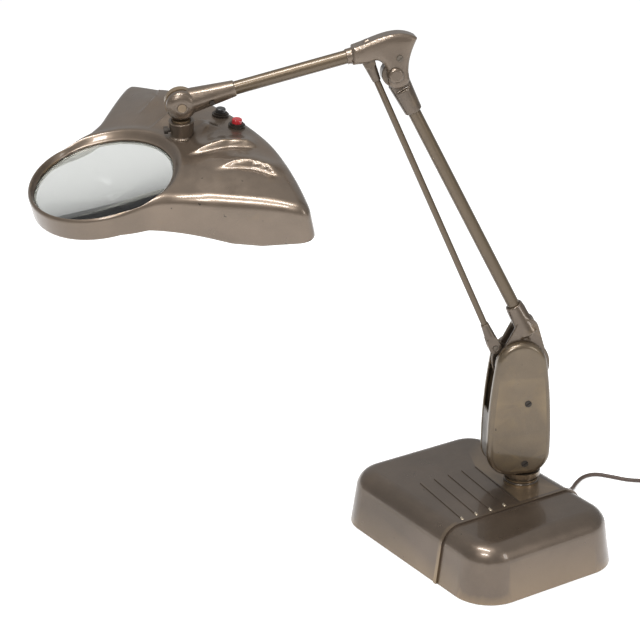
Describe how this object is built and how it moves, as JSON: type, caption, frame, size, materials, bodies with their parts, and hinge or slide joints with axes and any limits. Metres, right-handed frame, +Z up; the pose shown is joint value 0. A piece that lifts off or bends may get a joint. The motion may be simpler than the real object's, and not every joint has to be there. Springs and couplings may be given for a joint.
{
  "type": "bench magnifier lamp",
  "caption": "Balanced-arm bench magnifier lamp with a winged lamp head, round lens, parallel-link arm, swivelling spring housing and weighted base.",
  "frame": {"origin": "on the swivel axis of the spring housing, at the underside of the base (the table plane)", "axes": "+Z up; -Y is the front of the base, where the head reaches; +X to the right seen from the front"},
  "size_m": [0.4176, 0.7614, 0.5293],
  "materials": {
    "black_plastic": "gloss",
    "brass": "satin",
    "bronze_tube": "gloss",
    "cast_alloy": "gloss",
    "cord_rubber": "matte",
    "felt": "matte",
    "iron": "matte",
    "lamp_glass": "gloss",
    "lens_glass": "gloss",
    "painted_cast": "gloss",
    "painted_steel": "gloss",
    "red_plastic": "gloss",
    "steel": "satin",
    "white_enamel": "satin"
  },
  "bodies": {
    "base": {"base_shell": "painted_steel", "bottom_plate": "steel", "felt_pad": "felt", "base_screws": "steel", "base_weight": "iron", "ballast": "iron", "swivel_post": "steel", "post_nut": "steel", "base_hub": "painted_cast", "thrust_washer": "steel", "cord_bushing": "black_plastic", "power_cord": "cord_rubber", "cord_coil": "cord_rubber", "plug_body": "black_plastic", "plug_blades": "brass"},
    "housing": {"housing_frame": "painted_cast", "left_cover": "painted_steel", "right_cover": "painted_steel", "cover_screws": "steel", "front_strip": "painted_steel", "rear_strip": "painted_steel", "shoulder_pin": "steel", "anchor_pin": "steel", "left_spring": "steel", "right_spring": "steel"},
    "lower_arm": {"lower_foot": "cast_alloy", "lower_tube": "bronze_tube", "elbow_barrel": "cast_alloy"},
    "crank": {"crank": "painted_cast", "spring_pin": "steel", "lower_link_pin": "steel"},
    "link_rod": {"lower_rod_fork": "cast_alloy", "link_rod": "bronze_tube", "upper_rod_fork": "cast_alloy"},
    "upper_arm": {"elbow_casting": "cast_alloy", "elbow_pin": "painted_cast", "elbow_screw": "steel", "upper_link_pin": "steel", "upper_tube": "bronze_tube", "knuckle_sleeve": "cast_alloy", "knuckle_pin": "steel", "sleeve_screw": "steel"},
    "neck": {"neck": "painted_cast", "neck_clip": "steel"},
    "head": {"collar": "cast_alloy", "head_shell": "cast_alloy", "lens": "lens_glass", "lens_ring": "painted_cast", "reflector": "white_enamel", "front_lamp_tube": "lamp_glass", "rear_lamp_tube": "lamp_glass", "lamp_holders": "black_plastic", "starter": "steel", "start_switch": "black_plastic", "stop_switch": "black_plastic", "button_bushings": "steel"},
    "thumb_screw": {"thumb_screw": "steel"},
    "start_button": {"start_button": "red_plastic"},
    "stop_button": {"stop_button": "black_plastic"}
  },
  "joints": [
    {"name": "swivel", "type": "hinge", "parent": "base", "child": "housing", "pos_m": [0, 0, 0.0656], "axis": [0, 0, 1], "range_deg": [-170, 170]},
    {"name": "arm_tilt", "type": "hinge", "parent": "housing", "child": "lower_arm", "pos_m": [-0.00247, -0.00547, 0.1906], "axis": [-0.9114, 0.4115, 0], "range_deg": [-25, 25], "deforming": ["left_spring", "right_spring"]},
    {"name": "elbow", "type": "hinge", "parent": "lower_arm", "child": "upper_arm", "pos_m": [-0.05694, -0.1261, 0.49071], "axis": [0.9114, -0.4115, 0], "range_deg": [-2, 48]},
    {"name": "crank_turn", "type": "hinge", "parent": "lower_arm", "child": "crank", "pos_m": [-0.00247, -0.00547, 0.1906], "axis": [0.9114, -0.4115, 0], "range_deg": [-2, 48]},
    {"name": "rod_turn", "type": "hinge", "parent": "crank", "child": "link_rod", "pos_m": [-0.01361, -0.03014, 0.20858], "axis": [0.9114, -0.4115, 0], "range_deg": [-48, 2]},
    {"name": "head_tilt", "type": "hinge", "parent": "upper_arm", "child": "neck", "pos_m": [-0.13891, -0.30766, 0.46977], "axis": [-0.9139, 0.3653, 0.1771], "range_deg": [-15, 50]},
    {"name": "head_swivel", "type": "hinge", "parent": "neck", "child": "head", "pos_m": [-0.14381, -0.3042, 0.43732], "axis": [-0.1486, 0.1049, -0.9833], "range_deg": [-95, 60]},
    {"name": "thumb_turn", "type": "hinge", "parent": "head", "child": "thumb_screw", "pos_m": [-0.14746, -0.31597, 0.44373], "axis": [-0.3905, -0.9198, -0.0392], "range_deg": [-180, 180]},
    {"name": "start_press", "type": "slide", "parent": "head", "child": "start_button", "axis": [-0.144, -0.0134, -0.9895], "range_m": [0, 0.0025], "stiffness_N_per_m": 300, "springref_m": -0.001},
    {"name": "stop_press", "type": "slide", "parent": "head", "child": "stop_button", "axis": [-0.144, -0.0134, -0.9895], "range_m": [0, 0.0025], "stiffness_N_per_m": 300, "springref_m": -0.001}
  ],
  "couplings": [
    {"joint": "crank_turn", "follows": "elbow", "ratio": 1},
    {"joint": "rod_turn", "follows": "elbow", "ratio": -1}
  ]
}
